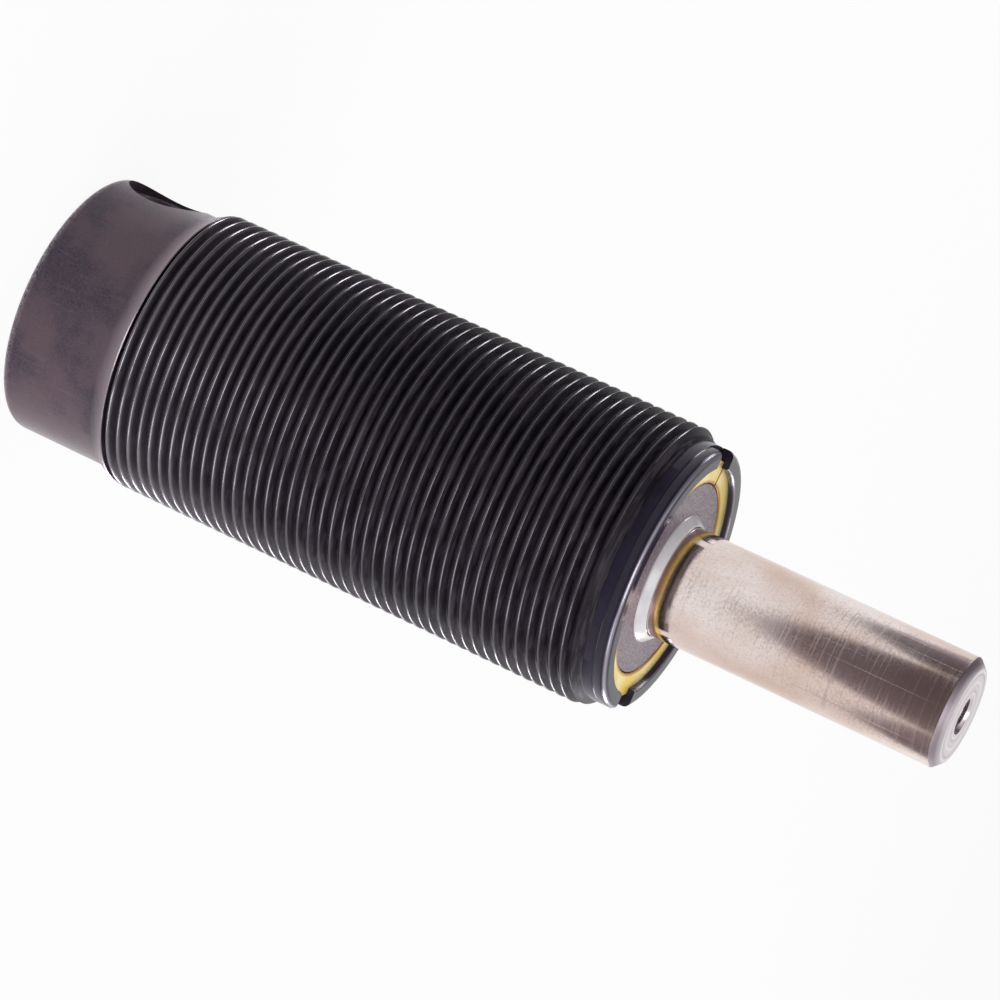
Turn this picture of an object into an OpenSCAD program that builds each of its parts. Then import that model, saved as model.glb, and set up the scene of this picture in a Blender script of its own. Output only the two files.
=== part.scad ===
// Nitrogen die spring: a threaded gas cylinder with a polished rod that springs out.
// It stands on its base. The axis is +Z, towards the rod's tip, and all sizes are in millimetres.

/* [Cylinder] */
// Depth of the plain collar at the base below the thread's crest
collar_step = 1.25; // [0.95:0.05:1.8]
// Height of the plain collar
collar_len = 12.8; // [10.6:0.1:14]
// Radius that breaks the collar's bottom edge
collar_edge_r = 0.8; // [0.3:0.1:1.5]
// Wall from the thread's crest to the bore that holds the gas
wall = 3.5; // [3:0.1:3.8]
// Radius between the bore and its floor
bore_floor_r = 1; // [0.4:0.1:2]
// Thickness of the closed base under the bore
base_t = 13; // [12.4:0.1:16]

/* [Outside thread] */
// Major diameter of the thread
thread_d = 36; // [35.4:0.1:40]
// Pitch of the thread
thread_pitch = 1.5; // [1:0.25:2]
// Length of the plain cone between the collar and the thread
thread_lead = 2.4; // [1.8:0.1:4]
// Length over which the thread's crest falls to the land
thread_tail = 2.1; // [1.5:0.1:3]

/* [Rim] */
// Depth of the plain land above the thread below the thread's crest
land_step = 1.25; // [0.95:0.05:1.6]
// Length of the plain land and the bead up to the rim's nose
land_len = 3; // [2.6:0.1:5]
// Length of the rounded bead above the crease in the land
bead_len = 1.7; // [1.3:0.1:2]
// Depth of the crease between land and bead
crease_depth = 0.2; // [0.1:0.05:0.4]
// Radius of the rim's outer edge
nose_r = 0.8; // [0.3:0.1:0.9]
// Bevel of the rim's inner edge
rim_bevel = 0.2; // [0.1:0.05:0.4]
// Thickness of the lip that holds the retaining ring in
lip_t = 0.9; // [0.7:0.1:1.5]
// Width of the two slots where the retaining ring is pried out
slot_w = 4.75; // [3:0.05:7]
// Depth of those slots from the rim's nose
slot_depth = 1.9; // [0.8:0.1:2.2]

/* [Charging port] */
// Height of the port's axis above the base
port_z = 5.9; // [5.4:0.1:6.2]
// Diameter of the port's spot face
spot_d = 10.3; // [8:0.1:10.6]
// Depth of the spot face below the collar's surface
spot_depth = 1.2; // [0.9:0.1:2]
// Diameter of the threaded plug
plug_d = 6; // [5:0.1:7]
// Length of the plug
plug_len = 5.6; // [4:0.1:6]
// Distance of the plug below the spot face
plug_recess = 0.95; // [0.2:0.05:1.5]
// Width across the flats of the plug's hexagon socket
plug_hex = 3; // [2:0.5:3.5]
// Depth of the hexagon socket
plug_hex_depth = 2.6; // [1.5:0.1:3.4]
// Thickness of the sealing washer under the plug
plug_seal_t = 1; // [0.5:0.1:1.2]
// Diameter of the gas passage
passage_d = 3; // [2:0.1:3.6]

/* [Rod] */
// Travel of the rod, which is also how far it stands out of the rim
stroke = 38; // [10:1:100]
// Diameter of the rod
rod_d = 14; // [13:0.1:14.4]
// Bevel of the rod's tip
rod_bevel = 1; // [0.3:0.1:2]
// Diameter of the hole in the rod's tip, ready for its thread
rod_hole_d = 4.2; // [2.5:0.1:8]
// Depth of that hole
rod_hole_depth = 12; // [6:0.5:20]
// Bevel at the mouth of that hole
rod_hole_bevel = 0.3; // [0.2:0.1:1.2]

/* [Retaining ring] */
// Thickness of the flat split ring
ring_t = 1.2; // [0.8:0.1:2]
// Depth of the ring's groove in the bore
ring_groove = 0.9; // [0.5:0.1:1]
// Width of the ring's split
ring_split = 0.5; // [0.3:0.1:3]
// Direction of the split round the axis
ring_split_angle = 167.5; // [0:0.5:360]

/* [Guide housing] */
// Width of the retaining ring that shows between the bore and the housing's face
ring_show = 2.3; // [1.2:0.1:3]
// Height of that face above the ring's seat
spigot_h = 1.1; // [0.4:0.1:1.2]
// Length of the guide bush
bush_len = 8; // [5:0.5:14]
// Wall of the guide bush
bush_wall = 1.5; // [1:0.1:2]
// Web between the guide bush and the wiper
wiper_web = 0.6; // [0.4:0.1:2]
// Depth of the groove that holds the wiper, beyond its neck
wiper_groove = 1.5; // [0.8:0.1:2.2]
// Height of the wiper's groove
wiper_groove_h = 2.4; // [1.6:0.1:4]
// Thickness of the wiper where it leaves the housing
wiper_neck = 1.25; // [0.9:0.05:1.7]
// Thickness of the housing's face above the wiper's groove
wiper_mouth_h = 1; // [0.6:0.1:2]
// Height of the wiper's cone above the housing's face
wiper_cone_h = 1.05; // [0.5:0.05:2]
// Thickness of the wiper's cone at its tip
wiper_tip = 0.3; // [0.2:0.05:0.5]
// Depth of the rod seal's pocket from the rod
seal_section = 3; // [2.4:0.1:3.4]
// Height of the rod seal
seal_h = 3.6; // [2.4:0.1:6]
// Thickness of the rod seal's backup ring
seal_backup_t = 1; // [0.6:0.1:2]
// Width of the ledge between the rod seal's pocket and its washer's
washer_ledge = 1; // [0.6:0.1:1.6]
// Gap between the rod and that washer
washer_gap = 0.3; // [0.2:0.05:0.8]
// Thickness of that washer
seal_washer_t = 2; // [1.2:0.1:3]
// Height of the housing's outside seal groove above its lower end
housing_groove_z = 4; // [2:0.1:8]
// Section of the housing's O-ring
housing_o_ring_cs = 1.8; // [1.2:0.1:2.2]
// Thickness of that O-ring's backup ring
housing_backup_t = 1.2; // [0.8:0.1:2]

/* [Piston] */
// Length of the piston
piston_len = 8; // [7.4:0.1:14]
// Gap between the piston and the bore
piston_gap = 0.4; // [0.2:0.05:0.6]
// Width of the piston's guide ring
guide_ring_w = 4; // [2:0.1:5]
// Depth of the guide ring's groove
guide_ring_groove = 1.4; // [1:0.1:1.6]
// Width of the guide ring's split
guide_ring_split = 0.8; // [0.4:0.1:2]
// Diameter of the gas holes through the piston
gas_hole_d = 2; // [1:0.1:2.2]
// Number of those gas holes
gas_holes = 6; // [3:1:8]
// Depth of the rod's groove for the half rings
keeper_groove = 1.2; // [0.8:0.1:2]
// Height of the half rings above the rod
keeper_step = 2.2; // [1.6:0.1:2.4]
// Height of the half rings
keeper_h = 2.6; // [1.6:0.1:3.6]
// Diameter of the wire of the snap ring under the half rings
keeper_wire_d = 1; // [0.7:0.1:1.2]
// Free space left under the rod at the end of its travel
end_gap = 3.4; // [1:0.1:10]
// Gap between piston and housing with the rod out
stop_gap = 0.3; // [0.1:0.05:1]

/* [Charging valve] */
// Diameter of the valve's pocket in the base
valve_d = 10; // [9.4:0.1:11]
// Web between the gas passage and the pocket's floor
valve_web = 0.4; // [0.3:0.1:1.5]
// Height of the valve's seat
seat_h = 2.6; // [2:0.1:4]
// Diameter of the hole through the seat
seat_hole_d = 3.2; // [2.8:0.1:3.6]
// Height of the seat's sealing bead
seat_bead_h = 0.45; // [0.2:0.05:0.8]
// Section of the seat's O-ring
seat_o_ring_cs = 1; // [0.8:0.1:1.2]
// Diameter of the poppet's head
poppet_d = 7; // [6.2:0.1:7.6]
// Thickness of the poppet's head
poppet_h = 1.2; // [1:0.1:2]
// Diameter of the poppet's stems
poppet_stem_d = 2.3; // [1.8:0.1:2.5]
// Length of the stem inside the spring
poppet_stem_len = 1.3; // [0.6:0.1:1.5]
// Thickness of the poppet's rubber face
poppet_seal_t = 0.8; // [0.4:0.05:0.9]
// Length of the fitted spring
spring_len = 2.45; // [2.3:0.05:4]
// Diameter of the spring's wire
spring_wire_d = 0.5; // [0.3:0.05:0.6]
// Mean diameter of the spring's coils
spring_d = 3.6; // [3.5:0.1:4.6]
// Number of turns of the spring
spring_turns = 3; // [2:0.5:4]
// Wall of the cap that holds the spring
cap_wall = 0.75; // [0.5:0.05:1]
// Thickness of that cap's top
cap_t = 0.6; // [0.4:0.1:1.5]
// Diameter of the gas holes across the cap
cap_hole_d = 1.4; // [0.8:0.1:1.6]

/* [Fits] */
// Radial clearance between pieces that are fixed together
seat_clear = 0.03; // [0.01:0.01:0.06]
// Radial clearance of a running fit
run_clear = 0.04; // [0.02:0.01:0.09]
// Radial clearance of a seal lip, drawn unpressed
lip_clear = 0.06; // [0.02:0.01:0.1]
// Gap between the closed poppet and its seat, drawn unpressed
valve_gap = 0.05; // [0.02:0.01:0.1]

/* [Hidden] */
$fn = 96;
wire_fn = 32;
arc_steps = 5;
eps = 0.01;
cut = 1;

// Radii, from the thread inwards and from the rod outwards
thread_r = thread_d / 2;
collar_r = thread_r - collar_step;
land_r = thread_r - land_step;
bore_r = thread_r - wall;
spigot_r = bore_r - ring_show;
rod_r = rod_d / 2;
wiper_neck_r = rod_r + wiper_neck;
wiper_groove_r = wiper_neck_r + wiper_groove;
wiper_tip_r = rod_r + wiper_tip;
seal_r = rod_r + seal_section;
washer_r = seal_r + washer_ledge;
keeper_r = rod_r + keeper_step;
valve_r = valve_d / 2;

// Stack of the valve, from the gas passage upwards
valve_floor_z = port_z + passage_d / 2 + valve_web;
seat_top_z = valve_floor_z + seat_h;
poppet_z = seat_top_z + seat_bead_h + valve_gap;
poppet_top_z = poppet_z + poppet_h;
spring_top_z = poppet_top_z + valve_gap + spring_len;
cap_top_z = max(base_t, spring_top_z + cap_t);

// Stack of the housing's inside, and the heights that follow from the stroke
seal_stack = seal_washer_t + seal_h + seal_backup_t;
wiper_stack = wiper_web + wiper_groove_h + wiper_mouth_h;
housing_len = seal_stack + bush_len + wiper_stack - spigot_h;
piston_z = cap_top_z + end_gap + stroke;
piston_top_z = piston_z + piston_len;
housing_z = piston_top_z + stop_gap;
ring_z = housing_z + housing_len;
body_len = ring_z + ring_t + lip_t;
rod_top_z = body_len + stroke;
seal_z = housing_z + seal_washer_t;
seal_backup_z = seal_z + seal_h;
bush_z = seal_backup_z + seal_backup_t;
bush_top_z = bush_z + bush_len;
wiper_z = bush_top_z + wiper_web;
wiper_neck_z = wiper_z + wiper_groove_h;
face_z = wiper_neck_z + wiper_mouth_h;

// Thread form: ridges of 60 degrees, with crests an eighth of the pitch wide, above a plain cone
depth_per_pitch = 0.6134;
thread_depth = depth_per_pitch * thread_pitch;
thread_root_r = thread_r - thread_depth;
crest_half = thread_pitch / 8 / 2;
flank_angle = 30;
flank_tan = tan(flank_angle);
ridge_half = crest_half + thread_depth * flank_tan;
thread_top_z = body_len - land_len;
lead_drop = 0.1;
lead_r = thread_r - lead_drop;
lead_top_z = collar_len + thread_lead;
first_ridge_z = lead_top_z + ridge_half;
ridges = floor((thread_top_z - ridge_half - first_ridge_z) / thread_pitch) + 1;
least_ridge = 0.1;
crease_half = 0.15;
crease_z = body_len - bead_len;

// Retaining ring and its groove
ring_groove_r = bore_r + ring_groove;
ring_clear = 0.02;
ring_play = 0.1;

// Charging port, along -X
spot_x = collar_r - spot_depth;
plug_x = spot_x - plug_recess;
plug_seal_x = plug_x - plug_len;
port_floor_x = plug_seal_x - plug_seal_t;
port_bevel = 0.4;

// Housing's outside seal
housing_groove_r = bore_r - housing_o_ring_cs;
housing_seal_z = housing_z + housing_groove_z;
housing_backup_z = housing_seal_z + housing_o_ring_cs;
housing_groove_top_z = housing_backup_z + housing_backup_t;
housing_bevel = 0.5;

// Piston
piston_r = bore_r - piston_gap;
guide_groove_r = piston_r - guide_ring_groove;
guide_ring_z = piston_z + (piston_len - guide_ring_w) / 2;
keeper_rod_r = rod_r - keeper_groove;
keeper_clear = 0.05;
keeper_split = 0.4;
snap_step = 0.4;
snap_z = piston_z + snap_step;
keeper_z = snap_z + keeper_wire_d;
keeper_top_z = keeper_z + keeper_h;
snap_groove_r = keeper_r + keeper_wire_d / 2;
snap_angle = 320;
gas_hole_r = (snap_groove_r + guide_groove_r) / 2;
piston_bevel = 0.6;

// Hole in the rod's tip, with the cone that a drill leaves
hole_r = rod_hole_d / 2;
hole_z = rod_top_z - rod_hole_depth;
drill_angle = 31;
hole_tip = hole_r * tan(drill_angle);

// Charging valve
seat_r = valve_r - seat_clear;
seat_groove_z = valve_floor_z + (seat_h - seat_o_ring_cs) / 2;
seat_groove_r = valve_r - seat_o_ring_cs;
bead_half = 0.2;
bead_gap = 0.2;
bead_r = seat_hole_d / 2 + bead_gap + 2 * bead_half;
poppet_r = poppet_d / 2;
poppet_stem_r = poppet_stem_d / 2;
poppet_nose_gap = 0.8;
poppet_nose_z = valve_floor_z + poppet_nose_gap;
poppet_rim = 0.4;
cap_hole_r = 1.5;
cap_hole_gap = 0.1;
cap_cross_z = max(base_t, poppet_top_z) + cap_hole_gap + cap_hole_d / 2;
spring_sides = 8;
spring_steps = 20;

function arc(centre, r, from, to, steps) = [
    for (i = [0 : steps])
        let (a = from + (to - from) * i / steps)
        centre + r * [cos(a), sin(a)]
];

// Radius that the thread's crest reaches at a height, falling over its tail
function crest_r(z) = max(
    thread_root_r + least_ridge,
    min(thread_r, land_r + (thread_r - land_r) * (thread_top_z - z) / thread_tail)
);

// One ridge of the thread, as points from its lower foot to its upper foot
function ridge(z) =
    let (r = crest_r(z), half = crest_half + (thread_r - r) * flank_tan)
    [
        [thread_root_r, z - ridge_half],
        [r, z - half],
        [r, z + half],
        [thread_root_r, z + ridge_half]
    ];

// A ring of rectangular section
module ring(inner, outer, z, h) {
    translate([0, 0, z])
        difference() {
            cylinder(r = outer, h = h);
            translate([0, 0, -cut])
                cylinder(r = inner, h = h + 2 * cut);
        }
}

// An O-ring between two radii, standing on a height
module o_ring(inner, outer, z) {
    section_r = (outer - inner) / 2;
    translate([0, 0, z + section_r])
        rotate_extrude()
            translate([inner + section_r, 0])
                circle(r = section_r, $fn = wire_fn);
}

// A cylinder that points along -X at the port's height, between two distances from the axis
module port_bar(r, near, far) {
    translate([-far, 0, port_z])
        rotate([0, 90, 0])
            cylinder(r = r, h = far - near);
}

module cylinder_body() {
    outside = concat(
        [[0, 0]],
        arc([collar_r - collar_edge_r, collar_edge_r], collar_edge_r, -90, 0, arc_steps),
        [[collar_r, collar_len], [lead_r, lead_top_z]],
        [for (i = [0 : ridges - 1]) each ridge(first_ridge_z + i * thread_pitch)],
        [
            [land_r, thread_top_z],
            [land_r, crease_z - crease_half],
            [land_r - crease_depth, crease_z],
            [land_r, crease_z + crease_half]
        ],
        arc([land_r - nose_r, body_len - nose_r], nose_r, 0, 90, arc_steps)
    );
    inside = concat(
        [
            [bore_r + rim_bevel, body_len],
            [bore_r, body_len - rim_bevel],
            [bore_r, ring_z + ring_t + ring_clear],
            [ring_groove_r, ring_z + ring_t + ring_clear],
            [ring_groove_r, ring_z - ring_clear],
            [bore_r, ring_z - ring_clear]
        ],
        arc([bore_r - bore_floor_r, base_t + bore_floor_r], bore_floor_r, 0, -90, arc_steps),
        [
            [valve_r, base_t],
            [valve_r, valve_floor_z],
            [passage_d / 2, valve_floor_z],
            [passage_d / 2, port_z],
            [0, port_z]
        ]
    );
    color("#2b2a2f")
        difference() {
            rotate_extrude()
                polygon(concat(outside, inside));
            translate([-thread_d, -slot_w / 2, body_len - slot_depth])
                cube([2 * thread_d, slot_w, slot_depth + cut]);
            port_bar(spot_d / 2, spot_x, thread_d);
            port_bar(plug_d / 2, port_floor_x, thread_d);
            port_bar(passage_d / 2, 0, port_floor_x + eps);
            translate([-spot_x - eps, 0, port_z])
                rotate([0, 90, 0])
                    cylinder(r1 = plug_d / 2 + port_bevel, r2 = plug_d / 2, h = port_bevel);
        }
}

module guide_housing() {
    outer_r = bore_r - seat_clear;
    color("#6d6570")
        rotate_extrude()
            polygon([
                [washer_r, housing_z],
                [outer_r - housing_bevel, housing_z],
                [outer_r, housing_z + housing_bevel],
                [outer_r, housing_seal_z],
                [housing_groove_r, housing_seal_z],
                [housing_groove_r, housing_groove_top_z],
                [outer_r, housing_groove_top_z],
                [outer_r, ring_z],
                [spigot_r, ring_z],
                [spigot_r, face_z],
                [wiper_neck_r + seat_clear, face_z],
                [wiper_neck_r + seat_clear, wiper_neck_z],
                [wiper_groove_r, wiper_neck_z],
                [wiper_groove_r, wiper_z],
                [rod_r + bush_wall / 2, wiper_z],
                [rod_r + bush_wall / 2, bush_top_z],
                [rod_r + bush_wall, bush_top_z],
                [rod_r + bush_wall, bush_z],
                [seal_r, bush_z],
                [seal_r, seal_z],
                [washer_r, seal_z]
            ]);
}

module retaining_ring() {
    color("#d9bd62")
        difference() {
            ring(spigot_r + ring_play, ring_groove_r - ring_play, ring_z, ring_t);
            rotate([0, 0, ring_split_angle])
                translate([0, -ring_split / 2, ring_z - cut])
                    cube([thread_d, ring_split, ring_t + 2 * cut]);
        }
}

module rod_wiper() {
    lip_r = rod_r + lip_clear;
    relief = wiper_tip - lip_clear;
    color("#d6d6d8")
        rotate_extrude()
            polygon([
                [lip_r + relief, wiper_z],
                [wiper_groove_r - seat_clear, wiper_z],
                [wiper_groove_r - seat_clear, wiper_neck_z],
                [wiper_neck_r, wiper_neck_z],
                [wiper_neck_r, face_z],
                [wiper_tip_r, face_z + wiper_cone_h],
                [lip_r, face_z + wiper_cone_h],
                [lip_r, face_z],
                [lip_r + relief, face_z - wiper_mouth_h / 2]
            ]);
}

module port_plug() {
    color("#3b3a3e")
        difference() {
            port_bar(plug_d / 2 - seat_clear, plug_seal_x, plug_x);
            translate([-plug_x - eps, 0, port_z])
                rotate([0, 90, 0])
                    cylinder(d = plug_hex / cos(30), h = plug_hex_depth + eps, $fn = 6);
        }
}

module port_plug_seal() {
    color("#b8733a")
        difference() {
            port_bar(plug_d / 2 - seat_clear, port_floor_x, plug_seal_x);
            port_bar(passage_d / 2, port_floor_x - cut, plug_seal_x + cut);
        }
}

module guide_bush() {
    color("#b08d57")
        ring(rod_r + run_clear, rod_r + bush_wall - seat_clear, bush_z, bush_len);
}

// U-cup: two lips that open towards the gas, below
module rod_seal() {
    inner_r = rod_r + lip_clear;
    outer_r = seal_r - seat_clear;
    middle_r = (inner_r + outer_r) / 2;
    lip = (outer_r - inner_r) / 4;
    color("#1f1f21")
        rotate_extrude()
            polygon([
                [inner_r, seal_z],
                [inner_r + lip, seal_z],
                [middle_r - lip / 2, seal_z + seal_h / 2],
                [middle_r + lip / 2, seal_z + seal_h / 2],
                [outer_r - lip, seal_z],
                [outer_r, seal_z],
                [outer_r, seal_backup_z],
                [inner_r, seal_backup_z]
            ]);
}

module rod_seal_backup() {
    color("#e6e2d6")
        ring(rod_r + lip_clear, seal_r - seat_clear, seal_backup_z, seal_backup_t);
}

module seal_retainer() {
    color("#8c8c90")
        ring(rod_r + washer_gap, washer_r - seat_clear, housing_z, seal_washer_t);
}

module housing_o_ring() {
    color("#1b1b1c")
        o_ring(housing_groove_r + seat_clear, bore_r - seat_clear, housing_seal_z + seat_clear);
}

module housing_backup_ring() {
    color("#e6e2d6")
        ring(housing_groove_r + seat_clear, bore_r - seat_clear, housing_backup_z, housing_backup_t);
}

module valve_seat() {
    color("#c09a4c")
        rotate_extrude()
            polygon([
                [seat_hole_d / 2, valve_floor_z],
                [seat_r, valve_floor_z],
                [seat_r, seat_groove_z],
                [seat_groove_r, seat_groove_z],
                [seat_groove_r, seat_groove_z + seat_o_ring_cs],
                [seat_r, seat_groove_z + seat_o_ring_cs],
                [seat_r, seat_top_z],
                [bead_r + 2 * bead_half, seat_top_z],
                [bead_r + bead_half, seat_top_z + seat_bead_h],
                [bead_r - bead_half, seat_top_z + seat_bead_h],
                [bead_r - 2 * bead_half, seat_top_z],
                [seat_hole_d / 2, seat_top_z]
            ]);
}

module valve_seat_o_ring() {
    color("#1b1b1c")
        o_ring(seat_groove_r + seat_clear, valve_r - seat_clear, seat_groove_z + seat_clear);
}

// Cap pressed into the pocket over the valve, with cross holes that let the gas through
module valve_retainer() {
    outer_r = valve_r - seat_clear;
    color("#9a9a9e")
        difference() {
            rotate_extrude()
                polygon([
                    [outer_r - cap_wall, seat_top_z],
                    [outer_r, seat_top_z],
                    [outer_r, spring_top_z + cap_t],
                    [cap_hole_r, spring_top_z + cap_t],
                    [cap_hole_r, spring_top_z],
                    [outer_r - cap_wall, spring_top_z]
                ]);
            for (a = [0, 90])
                rotate([0, 0, a])
                    translate([-valve_d, 0, cap_cross_z])
                        rotate([0, 90, 0])
                            cylinder(d = cap_hole_d, h = 2 * valve_d);
        }
}

// Round wire swept along a helix, with flat ends
module valve_spring() {
    wire_r = spring_wire_d / 2;
    low = poppet_top_z + valve_gap + wire_r;
    rise = spring_top_z - wire_r - low;
    steps = ceil(spring_turns * spring_steps);
    points = [
        for (i = [0 : steps], j = [0 : spring_sides - 1])
            let (
                turn = 360 * spring_turns * i / steps,
                side = 360 * j / spring_sides,
                r = spring_d / 2 + wire_r * cos(side)
            )
            [r * cos(turn), r * sin(turn), low + rise * i / steps + wire_r * sin(side)]
    ];
    sides = [
        for (i = [0 : steps - 1], j = [0 : spring_sides - 1])
            let (k = (j + 1) % spring_sides, a = i * spring_sides, b = a + spring_sides)
            [a + j, b + j, b + k, a + k]
    ];
    first = [for (j = [0 : spring_sides - 1]) j];
    last = [for (j = [spring_sides - 1 : -1 : 0]) steps * spring_sides + j];
    color("#a8a8ac")
        polyhedron(points = points, faces = concat(sides, [first, last]));
}

module piston_rod() {
    color("#cfc9c6")
        rotate_extrude()
            polygon([
                [0, piston_z],
                [rod_r - piston_bevel, piston_z],
                [rod_r, piston_z + piston_bevel],
                [rod_r, keeper_z],
                [keeper_rod_r, keeper_z],
                [keeper_rod_r, keeper_top_z + keeper_clear],
                [rod_r, keeper_top_z + keeper_clear],
                [rod_r, rod_top_z - rod_bevel],
                [rod_r - rod_bevel, rod_top_z],
                [hole_r + rod_hole_bevel, rod_top_z],
                [hole_r, rod_top_z - rod_hole_bevel],
                [hole_r, hole_z],
                [0, hole_z - hole_tip]
            ]);
}

module piston() {
    color("#77777b")
        difference() {
            rotate_extrude()
                polygon([
                    [keeper_r, piston_z],
                    [piston_r - piston_bevel, piston_z],
                    [piston_r, piston_z + piston_bevel],
                    [piston_r, guide_ring_z],
                    [guide_groove_r, guide_ring_z],
                    [guide_groove_r, guide_ring_z + guide_ring_w],
                    [piston_r, guide_ring_z + guide_ring_w],
                    [piston_r, piston_top_z - piston_bevel],
                    [piston_r - piston_bevel, piston_top_z],
                    [rod_r + seat_clear, piston_top_z],
                    [rod_r + seat_clear, keeper_top_z],
                    [keeper_r, keeper_top_z],
                    [keeper_r, keeper_z],
                    [snap_groove_r, keeper_z],
                    [snap_groove_r, snap_z],
                    [keeper_r, snap_z]
                ]);
            for (i = [0 : gas_holes - 1])
                rotate([0, 0, 360 * i / gas_holes])
                    translate([gas_hole_r, 0, piston_z - cut])
                        cylinder(d = gas_hole_d, h = piston_len + 2 * cut);
        }
}

module piston_guide_ring() {
    color("#5b4a3a")
        difference() {
            ring(guide_groove_r + seat_clear, bore_r - run_clear, guide_ring_z, guide_ring_w);
            translate([0, -guide_ring_split / 2, guide_ring_z - cut])
                cube([thread_d, guide_ring_split, guide_ring_w + 2 * cut]);
        }
}

module piston_keepers() {
    color("#8a8a8e")
        difference() {
            ring(keeper_rod_r + keeper_clear, keeper_r - keeper_clear, keeper_z, keeper_h);
            translate([-thread_d, -keeper_split / 2, keeper_z - cut])
                cube([2 * thread_d, keeper_split, keeper_h + 2 * cut]);
        }
}

module keeper_ring() {
    wire_r = keeper_wire_d / 2 - seat_clear;
    color("#9d9da1")
        translate([0, 0, keeper_z - keeper_wire_d / 2])
            rotate_extrude(angle = snap_angle)
                translate([snap_groove_r - keeper_wire_d / 2, 0])
                    circle(r = wire_r, $fn = wire_fn);
}

module valve_poppet() {
    face_r = poppet_r - poppet_rim;
    color("#b9975a")
        rotate_extrude()
            polygon([
                [0, poppet_nose_z],
                [poppet_stem_r, poppet_nose_z],
                [poppet_stem_r, poppet_z + poppet_seal_t],
                [face_r, poppet_z + poppet_seal_t],
                [face_r, poppet_z],
                [poppet_r, poppet_z],
                [poppet_r, poppet_top_z],
                [poppet_stem_r, poppet_top_z],
                [poppet_stem_r, poppet_top_z + poppet_stem_len],
                [0, poppet_top_z + poppet_stem_len]
            ]);
}

module valve_poppet_seal() {
    color("#1b1b1c")
        ring(poppet_stem_r + seat_clear, poppet_r - poppet_rim - seat_clear, poppet_z, poppet_seal_t);
}

cylinder_body();
guide_housing();
retaining_ring();
rod_wiper();
port_plug();
port_plug_seal();
guide_bush();
rod_seal();
rod_seal_backup();
seal_retainer();
housing_o_ring();
housing_backup_ring();
valve_seat();
valve_seat_o_ring();
valve_retainer();
valve_spring();
piston_rod();
piston();
piston_guide_ring();
piston_keepers();
keeper_ring();
valve_poppet();
valve_poppet_seal();
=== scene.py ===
import math

import bpy
from mathutils import Matrix, Vector, noise


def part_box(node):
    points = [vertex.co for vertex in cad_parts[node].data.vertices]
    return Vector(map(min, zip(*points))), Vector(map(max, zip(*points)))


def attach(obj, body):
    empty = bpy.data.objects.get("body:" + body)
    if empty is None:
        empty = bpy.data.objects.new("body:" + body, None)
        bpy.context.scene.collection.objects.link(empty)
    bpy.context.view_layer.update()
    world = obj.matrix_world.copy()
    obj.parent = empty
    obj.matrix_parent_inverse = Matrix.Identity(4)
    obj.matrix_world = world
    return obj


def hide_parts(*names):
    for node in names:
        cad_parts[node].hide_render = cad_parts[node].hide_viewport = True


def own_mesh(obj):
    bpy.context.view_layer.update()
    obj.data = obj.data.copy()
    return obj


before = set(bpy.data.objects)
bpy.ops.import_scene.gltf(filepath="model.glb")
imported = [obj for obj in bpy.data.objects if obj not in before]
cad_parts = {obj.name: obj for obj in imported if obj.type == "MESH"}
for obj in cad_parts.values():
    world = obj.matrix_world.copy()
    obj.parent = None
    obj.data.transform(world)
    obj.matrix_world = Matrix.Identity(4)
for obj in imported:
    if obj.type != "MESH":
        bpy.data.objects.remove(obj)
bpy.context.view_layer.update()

# Cylinder body: the pressure cylinder, turned from one bar of alloy steel and closed at its base.
# It has a plain collar, a fine right-hand thread that screws into the die, and a rounded rim with
# two slots where the retaining ring is pried out. It is blackened all over after cutting.
mm = 0.001
body_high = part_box("cylinder_body")[1]
body_top = body_high.z
crest_r = body_high.x
collar_r = crest_r - 1.25 * mm
collar_top = 12.8 * mm
collar_edge = 0.8 * mm
lead_r = crest_r - 0.1 * mm
lead_top = collar_top + 2.4 * mm
lead_edge = 0.1 * mm
thread_pitch = 1.5 * mm
thread_depth = 0.6134 * thread_pitch
thread_start = 1.06 * mm
thread_tail = 1.3 * mm
thread_top = body_top - 3 * mm
flank_tan = math.tan(math.radians(30))
crest_half = thread_pitch / 16
crest_break = 0.07 * mm
crest_fall = crest_break / flank_tan
root_half = thread_pitch / 2 - crest_half - thread_depth * flank_tan
land_r = crest_r - 1.25 * mm
crease_z = body_top - 1.7 * mm
crease_half = 0.2 * mm
crease_depth = 0.1 * mm
nose_r = 0.8 * mm
bore_r = crest_r - 3.5 * mm
bore_floor = 13 * mm
rim_bevel = 0.2 * mm
ring_groove_r = bore_r + 0.9 * mm
ring_groove_low = body_top - 2.12 * mm
ring_groove_high = body_top - 0.88 * mm
valve_pocket_r = 5 * mm
valve_pocket_z = 7.8 * mm
passage_r = 1.5 * mm
port_z = 5.9 * mm
spot_r = 5.15 * mm
spot_x = collar_r - 1.2 * mm
plug_hole_r = 3 * mm
plug_hole_bevel = 0.4 * mm
plug_hole_floor = 8 * mm
slot_width = 4.75 * mm
slot_floor = body_top - 1.9 * mm
body_sides = 192
port_sides = 96
nick_spacing = 1.6 * mm
nick_depth = 0.09 * mm
nick_level = 0.35


def arc(centre, radius, start, end, steps=5):
    """Points of a rounded edge in the plane of radius and height, from one angle to another."""
    turns = [math.radians(start + (end - start) * i / steps) for i in range(steps + 1)]
    return [(centre[0] + radius * math.cos(a), centre[1] + radius * math.sin(a)) for a in turns]


def circle(points, radius, z, sides):
    """Adds a circle of points round the axis, or one point on it, and gives their numbers."""
    first = len(points)
    if radius == 0:
        points.append((0, 0, z))
        return [first] * sides
    for i in range(sides):
        turn = 2 * math.pi * i / sides
        points.append((radius * math.cos(turn), radius * math.sin(turn), z))
    return list(range(first, first + sides))


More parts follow.
